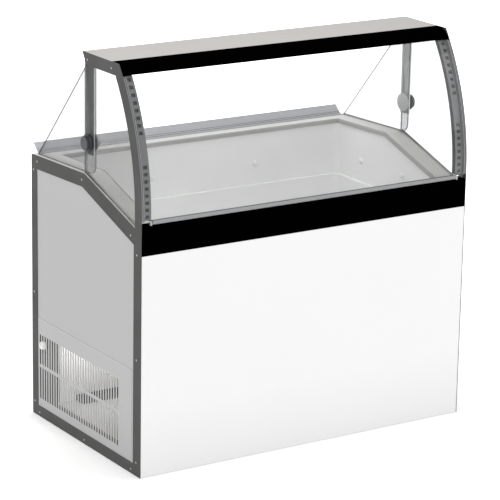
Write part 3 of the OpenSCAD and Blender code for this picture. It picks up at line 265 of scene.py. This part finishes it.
def paint_groove_shade(material, axis, lines, grey):
    """Paints thin lines of one grey along a piece, as painted shade where grooves would be. A line is the
    part of the surface whose distance from the middle, along the axis, is within a half width of the
    line's place, in metres."""
    tree = material.node_tree
    shader = tree.nodes["Principled BSDF"]
    parts = tree.nodes.new("ShaderNodeSeparateXYZ")
    tree.links.new(tree.nodes.new("ShaderNodeTexCoord").outputs["Object"], parts.inputs[0])
    place = tree.nodes.new("ShaderNodeMath")
    place.operation = "ABSOLUTE"
    tree.links.new(parts.outputs[axis], place.inputs[0])
    total = None
    for centre, half_width in lines:
        near = tree.nodes.new("ShaderNodeMath")
        near.operation = "COMPARE"
        tree.links.new(place.outputs[0], near.inputs[0])
        near.inputs[1].default_value = centre
        near.inputs[2].default_value = half_width
        if total is not None:
            joined = tree.nodes.new("ShaderNodeMath")
            joined.operation = "MAXIMUM"
            tree.links.new(total, joined.inputs[0])
            tree.links.new(near.outputs[0], joined.inputs[1])
            near = joined
        total = near.outputs[0]
    mix = tree.nodes.new("ShaderNodeMix")
    mix.data_type = "RGBA"
    source = shader.inputs["Base Color"].links[0].from_socket
    tree.links.new(total, mix.inputs["Factor"])
    tree.links.new(source, mix.inputs[6])
    mix.inputs[7].default_value = (grey, grey, grey, 1.0)
    tree.links.new(mix.outputs[2], shader.inputs["Base Color"])
    return material


X_AXIS, Z_AXIS = 0, 2
along_x, along_z, unstretched = (0.02, 1.0, 1.0), (1.0, 1.0, 0.02), (1.0, 1.0, 1.0)
dress(brushed("canopy_steel", (0.465, 0.45, 0.43), along_x, rough=0.5, metal=0.55),
      "canopy_top", "canopy_soffit")
dress(brushed("deck_steel", (0.63, 0.62, 0.60), along_x, rough=0.6, metal=0.2), "countertop")
# Two dark lines on the ledge rail's face: painted shade of grooves.
LEDGE_GROOVE_SHADE = [(0.8665, 0.0007), (0.8705, 0.0007)]
ledge_aluminium = brushed("ledge_aluminium", (0.37, 0.38, 0.40), along_x, rough=0.5, metal=0.3)
dress(paint_groove_shade(ledge_aluminium, Z_AXIS, LEDGE_GROOVE_SHADE, 0.12), "rear_ledge_rail")
dress(brushed("rail_aluminium", (0.30, 0.305, 0.31), along_x, rough=0.4, metal=0.5), "glass_rail")
dress(brushed("channel_aluminium", (0.50, 0.50, 0.49), (1.0, 0.02, 0.6), rough=0.45, metal=0.4),
      "left_pane_channel", "right_pane_channel", "pivot_brackets")
# Two dark lines along the glass edge beads: painted shade of grooves.
BEAD_GROOVE_SHADE = [(0.5927, 0.0004), (0.5865, 0.0004)]
bead_aluminium = brushed("bead_aluminium", (0.34, 0.345, 0.355), along_z, rough=0.4, metal=0.6)
dress(paint_groove_shade(bead_aluminium, X_AXIS, BEAD_GROOVE_SHADE, 0.06), "glass_edge_beads")
dress(brushed("disc_aluminium", (0.42, 0.425, 0.43), unstretched, rough=0.4, metal=0.4),
      "left_clamp_disc", "right_clamp_disc")
dress(brushed("rivet_metal", (0.42, 0.42, 0.42), unstretched, rough=0.35, metal=0.8), "trim_rivets")
dress(brushed("fan_metal", (0.6, 0.6, 0.6), unstretched, rough=0.4), "fan_blade")
dress(brushed("galvanised", (0.50, 0.505, 0.505), unstretched, rough=0.6, streak=0.03, metal=0.3),
      "machine_floor", "rear_vent")
dress(brushed("copper", (0.72, 0.36, 0.22), unstretched, rough=0.3),
      "refrigerant_pipes", "evaporator_coil")


# ---- Plastics and rubber ----
# Injection moulded and extruded parts with a fine satin grain: the gloss black band and fascia, the
# knobs, the switch, the inlet and the strips. They are pushed, screwed or snapped onto the sheets.
def moulded(name, colour, rough=0.4, grain_size=700.0, bump_strength=0.06, specular=0.4):
    """Moulded plastic: nearly even colour with a fine satin grain."""
    return powder_coat(name, colour, rough, grain_size, bump_strength, specular)


dress(moulded("black_gloss", (0.0004, 0.0004, 0.0004), rough=0.3, bump_strength=0.01, specular=0.0),
      "lower_band", "canopy_fascia")
dress(moulded("black_plastic", (0.02, 0.02, 0.02)), "power_inlet", "switch_body", "drip_tray",
      "thermostat_body", "drain_plug", "compressor_feet", "base_glides")
dress(moulded("knob_plastic", (0.045, 0.046, 0.05)), "left_clamp_knob", "right_clamp_knob")
dress(moulded("control_box_coat", (0.03, 0.03, 0.03)), "control_box")
dress(moulded("strip_plastic", (0.19, 0.19, 0.195)), "glazing_strips")
dress(moulded("white_plastic", (0.85, 0.85, 0.84), rough=0.3),
      "thermostat_knob", "lamp_sockets", "drain_tube")
lamp_phosphor = moulded("lamp_phosphor", (0.9, 0.9, 0.88), rough=0.3)
lamp_shader = lamp_phosphor.node_tree.nodes["Principled BSDF"]
lamp_shader.inputs["Emission Color"].default_value = (1.0, 0.98, 0.94, 1.0)
lamp_shader.inputs["Emission Strength"].default_value = 7.0
dress(lamp_phosphor, "lamp_tube")
dress(moulded("red_plastic", (0.5, 0.02, 0.02), rough=0.25), "switch_rocker")
dress(moulded("foam", (0.8, 0.7, 0.4), rough=0.9), "foam_insulation")
dress(moulded("breaker_plastic", (0.42, 0.415, 0.41), rough=0.4), "breaker_strip")


# ---- Tub ----
# The liner is one white enamelled steel tub that stands in the foam and hangs from the deck. Round
# plastic plugs close the holes in its walls.
dress(enamel("liner_enamel", (0.87, 0.87, 0.868), rough=0.4, peel=0.012, specular=0.2), "tub_liner")
dress(moulded("plug_plastic", (0.8, 0.8, 0.8), rough=0.35), "wall_plugs")


# ---- Glass ----
# Toughened panes with ground edges. Light goes straight through a thin pane, so each face lets
# it pass with a little tint and mirrors a share that grows towards grazing angles.
def pane_glass(name, tint, edge_colour, thin_axis, mirror=0.5):
    """See-through faces and a denser ground edge, told apart by which way the surface faces. The
    share that a face mirrors is mirror times the Fresnel share."""
    material, tree, shader, add = node_material(name)
    point = object_point(add)
    smears = add("ShaderNodeTexNoise", ("Vector", point), ("Scale", 5.0), ("Detail", 6.0)).outputs["Fac"]
    normal = add("ShaderNodeTexCoord").outputs["Normal"]
    facing = add("ShaderNodeSeparateXYZ", ("Vector", normal)).outputs["X"]
    across = add("ShaderNodeMath", ("Value", facing), operation="ABSOLUTE").outputs[0]
    side_of_half = "LESS_THAN" if thin_axis == "X" else "GREATER_THAN"
    is_edge = add("ShaderNodeMath", ("Value", across), operation=side_of_half)
    is_edge.inputs[1].default_value = 0.5
    clear = add("ShaderNodeBsdfTransparent")
    tree.links.new(shaded(add, tint, smears, 0.985, 1.01), clear.inputs["Color"])
    gloss = add("ShaderNodeBsdfGlossy", ("Color", (0.9, 0.9, 0.9, 1.0)))
    tree.links.new(spread(add, smears, 0.02, 0.09), gloss.inputs["Roughness"])
    fresnel = add("ShaderNodeFresnel", ("IOR", 1.45)).outputs[0]
    share = add("ShaderNodeMath", ("Value", fresnel), operation="MULTIPLY")
    share.inputs[1].default_value = mirror
    face = add("ShaderNodeMixShader", (0, share.outputs[0]), (1, clear.outputs[0]), (2, gloss.outputs[0]))
    shader.inputs["Base Color"].default_value = (*edge_colour, 1.0)
    shader.inputs["Roughness"].default_value = 0.25
    edge_clear = add("ShaderNodeBsdfTransparent", ("Color", (*edge_colour, 1.0)))
    edge = add("ShaderNodeMixShader", (0, 0.6), (1, edge_clear.outputs[0]), (2, shader.outputs[0]))
    whole = add("ShaderNodeMixShader", (0, is_edge.outputs[0]), (1, face.outputs[0]), (2, edge.outputs[0]))
    tree.links.new(whole.outputs[0], tree.nodes["Material Output"].inputs["Surface"])
    return material


dress(pane_glass("front_glass", (0.985, 0.99, 0.99), (0.4, 0.41, 0.41), "Y", mirror=0.3), "front_glass")
dress(pane_glass("clear_pane", (0.82, 0.822, 0.822), (0.35, 0.355, 0.36), "X", mirror=0.2),
      "left_front_pane", "right_front_pane")
dress(pane_glass("tinted_pane", (0.79, 0.792, 0.797), (0.3, 0.31, 0.315), "X", mirror=0.15),
      "left_rear_pane", "right_rear_pane")


# ---- Strips in the joints of the side panes ----
# Extruded strips of foam tape in the gap between two overlapping panes. The face seen from outside
# is painted dark as painted shade, and the face towards the tub is painted near white as painted light.
# The clamp stud goes through them.
def joint_tape():
    """Painted shade outwards and painted light inwards: the outward side is where X and the face's X
    direction agree.
    """
    material, tree, shader, add = node_material("joint_tape")
    point = object_point(add)
    side = add("ShaderNodeSeparateXYZ", ("Vector", point)).outputs["X"]
    normal = add("ShaderNodeTexCoord").outputs["Normal"]
    facing = add("ShaderNodeSeparateXYZ", ("Vector", normal)).outputs["X"]
    outward = add("ShaderNodeMath", (0, side), (1, facing), operation="MULTIPLY").outputs[0]
    painted_shade_face = add("ShaderNodeMath", (0, outward), (1, 0.1), operation="GREATER_THAN").outputs[0]
    cells = add("ShaderNodeTexNoise", ("Vector", point), ("Scale", 420.0), ("Detail", 3.0)).outputs["Fac"]
    # One tape in two colours: dark on the outer face as painted shade, near white on the inner face as
    # painted light.
    mix = add("ShaderNodeMix", ("Factor", painted_shade_face), data_type="RGBA")
    tree.links.new(shaded(add, (0.98, 0.98, 0.98), cells, 0.95, 1.02), mix.inputs[6])
    tree.links.new(shaded(add, (0.20, 0.202, 0.205), cells, 0.9, 1.08), mix.inputs[7])
    tree.links.new(mix.outputs[2], shader.inputs["Base Color"])
    bump = add("ShaderNodeBump", ("Height", cells), ("Strength", 0.15), ("Distance", 0.0004))
    tree.links.new(bump.outputs["Normal"], shader.inputs["Normal"])
    shader.inputs["Roughness"].default_value = 0.7
    shader.inputs["Specular IOR Level"].default_value = 0.2
    return material


dress(joint_tape(), "pane_joint_strips")


# ---- Screws on the rear panel, the outlet vent, the inlet and the soffit ----
# Pan head screws with a cross recess, in zinc plated steel. They hold the folded sheets to the
# frame, the vent over its opening, and the soffit to the canopy's lower flange.
def screw_heads(name, places, facing, radius=0.0035, rise=0.0016, rings=10, spokes=48):
    """One mesh of screw heads. Height over the radius r and the angle a is a dome, rise times the
    root of one less the square of r over radius. A cross recess is taken off it: 0.6 of rise deep
    on the middle line of an arm, nothing at 0.16 of the radius beside it, and nothing past 0.62 of
    the radius from the middle."""
    r = radius * np.linspace(0.0, 1.0, rings + 1)[1:]
    a = np.linspace(0.0, 2 * np.pi, spokes, endpoint=False)
    rr, aa = np.meshgrid(r, a, indexing="ij")
    u, v = rr * np.cos(aa), rr * np.sin(aa)
    dome = rise * np.sqrt(np.clip(1.0 - (rr / radius) ** 2, 0.0, 1.0))
    arm = np.minimum(np.abs(u), np.abs(v))
    within_arm = np.clip(1.0 - arm / (0.16 * radius), 0.0, 1.0)
    within_reach = np.clip((0.62 * radius - rr) / (0.12 * radius), 0.0, 1.0)
    cut = within_arm * within_reach
    high = dome - 0.6 * rise * cut
    side = Vector(facing).normalized()
    flat = Vector((0, 0, 1)) if abs(side.z) < 0.5 else Vector((1, 0, 0))
    across = np.array(flat.cross(side))
    up = np.array(flat)
    out = np.array(side)
    points, faces = [], []
    for place in places:
        start = len(points)
        points.append(tuple(np.array(place) + out * 0.4 * rise))
        grid = np.array(place) + u[..., None] * across + v[..., None] * up + high[..., None] * out
        points.extend(map(tuple, grid.reshape(-1, 3)))
        for k in range(spokes):
            following = (k + 1) % spokes
            faces.append((start, start + 1 + k, start + 1 + following))
            for ring in range(rings - 1):
                low = start + 1 + ring * spokes
                faces.append((low + k, low + spokes + k, low + spokes + following, low + following))
    piece = mesh_piece(name, points, faces, smooth=True)
    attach(piece, "cabinet")
    return piece


zinc = brushed("zinc_plate", (0.62, 0.61, 0.58), unstretched, rough=0.3, streak=0.09)
REAR_FACE = 0.330
SIDE_COLUMN_X = 0.580
COLUMN_HEIGHTS = (0.05, 0.25, 0.45, 0.65, 0.835)
ROW_PLACES = (-0.36, -0.12, 0.12, 0.36)
LOW_ROW_Z, HIGH_ROW_Z = 0.018, 0.845
rear_screws = [(side * SIDE_COLUMN_X, REAR_FACE, z) for side in (-1, 1) for z in COLUMN_HEIGHTS]
rear_screws += [(x, REAR_FACE, z) for x in ROW_PLACES for z in (LOW_ROW_Z, HIGH_ROW_Z)]
piece = screw_heads("rear_panel_screws", rear_screws, (0, 1, 0))
piece.data.materials.append(zinc)

vent_low, vent_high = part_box("rear_vent")
VENT_EDGE_X, VENT_EDGE_Z = 0.008, 0.0075
vent_screws = [(x, vent_high[1], z)
               for x in np.linspace(vent_low[0] + VENT_EDGE_X, vent_high[0] - VENT_EDGE_X, 3)
               for z in (vent_low[2] + VENT_EDGE_Z, vent_high[2] - VENT_EDGE_Z)]
piece = screw_heads("rear_vent_screws", vent_screws, (0, 1, 0), radius=0.003)
piece.data.materials.append(zinc)

inlet_low, inlet_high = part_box("power_inlet")
INLET_EDGE = 0.005
inlet_screws = [(x, inlet_high[1], 0.5 * (inlet_low[2] + inlet_high[2]))
                for x in (inlet_low[0] + INLET_EDGE, inlet_high[0] - INLET_EDGE)]
piece = screw_heads("inlet_screws", inlet_screws, (0, 1, 0), radius=0.0026, rise=0.0012)
piece.data.materials.append(zinc)

soffit_low, soffit_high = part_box("canopy_soffit")
SOFFIT_SCREW_X, SOFFIT_EDGE = 0.55, 0.012
soffit_screws = [(x, y, soffit_low[2]) for x in np.linspace(-SOFFIT_SCREW_X, SOFFIT_SCREW_X, 7)
                 for y in (soffit_low[1] + SOFFIT_EDGE, soffit_high[1] - SOFFIT_EDGE)]
piece = screw_heads("soffit_screws", soffit_screws, (0, 0, -1), radius=0.003)
piece.data.materials.append(zinc)


# ---- Seam over the service grille ----
# The side panel's lower edge is hemmed over the grille sheet. The hem is a narrow rounded bead in a
# glossier enamel, painted lighter than the panel's as a painted highlight along the seam.
grille_low, grille_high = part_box("left_service_grille")
HEM_R, HEM_STEPS, HEM_FLATNESS = 0.0011, 12, 0.45


def hem(name, x, y0, y1, z, body):
    """A rounded bead along Y on the panel's face. Its section is half a circle about the seam,
    flattened to HEM_FLATNESS of its height."""
    turn = np.linspace(-0.5 * np.pi, 0.5 * np.pi, HEM_STEPS)
    points = [(x - HEM_R * HEM_FLATNESS * math.cos(a), y, z + HEM_R * math.sin(a))
              for y in (y0, y1) for a in turn]
    faces = [(k, k + 1, HEM_STEPS + k + 1, HEM_STEPS + k) for k in range(HEM_STEPS - 1)]
    piece = mesh_piece(name, points, faces, smooth=True)
    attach(piece, body)
    return piece


HEM_SINK, HEM_END_GAP = 0.0002, 0.001
piece = hem("grille_hem", grille_low[0] + HEM_SINK, grille_low[1] + HEM_END_GAP,
            grille_high[1] - HEM_END_GAP, grille_high[2], "cabinet")
# The hem's enamel is painted lighter than the panel's: a painted highlight along the seam.
piece.data.materials.append(enamel("hem_highlight_enamel", (0.66, 0.66, 0.66), rough=0.3))


# ---- Contact blades of the inlet ----
# Three flat plated brass blades stand in the inlet's recess. Each is a thin sleeve over the
# moulded core.
def boxes(name, corners, body):
    """One mesh of upright boxes, each given by its low and its high corner."""
    points, faces = [], []
    for low, high in corners:
        start = len(points)
        points += [(x, y, z) for x in (low[0], high[0]) for y in (low[1], high[1])
                   for z in (low[2], high[2])]
        faces += [tuple(start + i for i in face) for face in
                  ((0, 1, 3, 2), (4, 6, 7, 5), (0, 4, 5, 1), (2, 3, 7, 6), (0, 2, 6, 4), (1, 5, 7, 3))]
    piece = mesh_piece(name, points, faces)
    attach(piece, body)
    return piece


blade_x, blade_z = 0.5 * (inlet_low[0] + inlet_high[0]), 0.5 * (inlet_low[2] + inlet_high[2])
BLADE_PLACES = ((-0.007, -0.002), (0.0, 0.0025), (0.007, -0.002))
BLADE_HALF_W, BLADE_HALF_H = 0.0011, 0.0021
BLADE_ROOT, BLADE_TIP = 0.0185, 0.0038
blades = [((blade_x + x - BLADE_HALF_W, REAR_FACE - BLADE_ROOT, blade_z + z - BLADE_HALF_H),
           (blade_x + x + BLADE_HALF_W, REAR_FACE - BLADE_TIP, blade_z + z + BLADE_HALF_H))
          for x, z in BLADE_PLACES]
piece = boxes("inlet_blades", blades, "cabinet")
piece.data.materials.append(brushed("blade_brass", (0.70, 0.55, 0.28), (1.0, 0.05, 1.0), rough=0.25))


# ---- Dial pointer ----
# A raised dark line moulded on the face of the thermostat knob. It shows where the knob is set,
# and turns with it.
dial_low, dial_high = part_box("thermostat_knob")
dial_y, dial_z = 0.5 * (dial_low[1] + dial_high[1]), 0.5 * (dial_low[2] + dial_high[2])
POINTER_RISE, POINTER_SINK, POINTER_HALF_W = 0.0003, 0.0005, 0.0007
POINTER_FROM, POINTER_TO = 0.002, 0.009
pointer = ((dial_low[0] - POINTER_RISE, dial_y - POINTER_HALF_W, dial_z + POINTER_FROM),
           (dial_low[0] + POINTER_SINK, dial_y + POINTER_HALF_W, dial_z + POINTER_TO))
piece = boxes("dial_pointer", [pointer], "dial")
piece.data.materials.append(moulded("pointer_plastic", (0.12, 0.12, 0.125), rough=0.4))


# ---- Seal round the tub opening ----
# A bead of grey silicone on the deck, where the sheet meets the plastic breaker strip. It was
# drawn round with a fingertip, so its width wanders a little.
BEND_Y, BEND_Z = -0.008, 0.873
FRONT_FALL, FRONT_RUN = 0.111, 0.347
REAR_FALL, REAR_RUN = 0.011, 0.339


def deck_height(y):
    """Height of the deck over Y. It falls in straight lines from the bend to the front and rear."""
    if y < BEND_Y:
        return BEND_Z - FRONT_FALL * (BEND_Y - y) / FRONT_RUN
    return BEND_Z - REAR_FALL * (y - BEND_Y) / REAR_RUN


SEAL_SINK = 0.00002


def seal_bead(name, half, front, rear, width, rise, steps=160, rounds=10):
    """A bead round the opening. Across its width the height is rise times the sine of half a turn,
    and the width changes by a sixth with two slow waves along the path."""
    corners = [(-half, front), (-half, BEND_Y), (-half, rear), (half, rear), (half, BEND_Y), (half, front)]
    outward = [(-1, -1), (-1, 0), (-1, 1), (1, 1), (1, 0), (1, -1)]
    path = []
    for k, (start, out) in enumerate(zip(corners, outward)):
        end, out_end = corners[(k + 1) % 6], outward[(k + 1) % 6]
        for t in np.linspace(0.0, 1.0, steps, endpoint=False):
            path.append(((1 - t) * start[0] + t * end[0], (1 - t) * start[1] + t * end[1],
                         (1 - t) * out[0] + t * out_end[0] if out[0] == out_end[0] else
                         (out[0] if t == 0 else 0.0),
                         (out[1] if t == 0 else (0.0 if out[0] == out_end[0] else out[1]))))
    points, faces = [], []
    for i, (x, y, ox, oy) in enumerate(path):
        wide = width * (1 + 0.1 * math.sin(0.13 * i) + 0.07 * math.sin(0.057 * i + 1.0))
        for j in range(rounds + 1):
            turn = math.pi * j / rounds
            d = 0.5 * wide * (1 + math.cos(turn))
            px, py = x + ox * d, y + oy * d
            points.append((px, py, deck_height(py) + rise * math.sin(turn) - SEAL_SINK))
    total, ring = len(path), rounds + 1
    for i in range(total):
        n = (i + 1) % total
        faces += [(i * ring + j, i * ring + j + 1, n * ring + j + 1, n * ring + j) for j in range(rounds)]
    piece = mesh_piece(name, points, faces, smooth=True)
    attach(piece, "cabinet")
    return piece


piece = seal_bead("opening_seal", half=0.523, front=-0.293, rear=0.260, width=0.0028, rise=0.0009)
piece.data.materials.append(moulded("silicone", (0.20, 0.20, 0.195), rough=0.5, grain_size=300.0))


# ---- Ends of the rear ledge ----
# Plastic caps with the rail's own outline, pressed into both ends of the leaning rail to
# close it. Their pale bluish colour is a painted highlight on the rail's ends.
def end_caps(name, outline, places, thickness, body):
    """Flat plates with one outline in Y and Z, each from its place outwards along X."""
    points, faces = [], []
    count = len(outline)
    for place in places:
        start = len(points)
        for x in (place, place + math.copysign(thickness, place)):
            points += [(x, y, z) for y, z in outline]
        near, far = tuple(range(start, start + count)), tuple(range(start + count, start + 2 * count))
        faces += [near[::-1], far] if place > 0 else [near, far[::-1]]
        for k in range(count):
            n = (k + 1) % count
            ring = (near[k], near[n], far[n], far[k])
            faces.append(ring if place > 0 else ring[::-1])
    piece = mesh_piece(name, points, faces)
    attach(piece, body)
    return piece


ledge_low, ledge_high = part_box("rear_ledge_rail")
LEDGE_OUTLINE = ((0.3090, 0.8628), (0.3250, 0.8623), (0.3275, 0.8623), (0.3548, 0.8885), (0.3528, 0.8910),
                 (0.3225, 0.8648), (0.3090, 0.8650))
piece = end_caps("ledge_end_caps", LEDGE_OUTLINE, (ledge_low[0], ledge_high[0]), 0.0012, "cabinet")
# The caps' pale bluish colour is a painted highlight at the rail's ends.
piece.data.materials.append(moulded("cap_highlight_plastic", (0.62, 0.64, 0.68), rough=0.35))


# ---- Ends of the lamp tube ----
# Crimped aluminium ferrules at both ends of the tube, just clear of the sockets.
def lathed(name, profile, centre, body, segments=48):
    """A profile of (x, radius) pairs turned about the X axis through a centre (y, z)."""
    turn = np.linspace(0.0, 2 * np.pi, segments, endpoint=False)
    points = [(x, centre[0] + r * math.cos(a), centre[1] + r * math.sin(a))
              for x, r in profile for a in turn]
    faces = [(i * segments + k, i * segments + (k + 1) % segments,
              (i + 1) * segments + (k + 1) % segments, (i + 1) * segments + k)
             for i in range(len(profile) - 1) for k in range(segments)]
    piece = mesh_piece(name, points, faces, smooth=True)
    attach(piece, body)
    return piece


lamp_low, lamp_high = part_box("lamp_tube")
lamp_centre = (0.5 * (lamp_low[1] + lamp_high[1]), 0.5 * (lamp_low[2] + lamp_high[2]))
lamp_radius = 0.5 * (lamp_high[2] - lamp_low[2])
ferrule = brushed("ferrule_aluminium", (0.7, 0.7, 0.71), unstretched, rough=0.3)
SOCKET_DEPTH = 0.0121
FERRULE_PROFILE = ((0.0, 0.0), (0.0, 0.0004), (0.010, 0.0004), (0.0108, 0.0008), (0.0124, 0.0008),
                   (0.0132, 0.0002), (0.0132, 0.0))
for side, end in (("left", lamp_low[0]), ("right", lamp_high[0])):
    inward = -math.copysign(1.0, end)
    start = end + inward * SOCKET_DEPTH
    shape = [(start + inward * x, lamp_radius + r) for x, r in FERRULE_PROFILE]
    piece = lathed(side + "_lamp_ferrule", shape, lamp_centre, "cabinet")
    piece.data.materials.append(ferrule)


# ---- Glass gasket ----
# A soft grey wedge pushed between the rail's front jaw and the curved glass. It keeps meltwater
# out of the rail and tilts with the glass.
rail_top_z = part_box("glass_rail")[1][2]
glass_low, glass_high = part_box("front_glass")
GASKET_Y, GASKET_END_GAP = -0.3549, 0.014
GASKET_H, GASKET_T = 0.0022, 0.0014
gasket = ((glass_low[0] + GASKET_END_GAP, GASKET_Y, rail_top_z),
          (glass_high[0] - GASKET_END_GAP, GASKET_Y + GASKET_T, rail_top_z + GASKET_H))
piece = boxes("glass_gasket", [gasket], "front_glass_frame")
piece.data.materials.append(moulded("gasket_rubber", (0.10, 0.10, 0.10), rough=0.6))
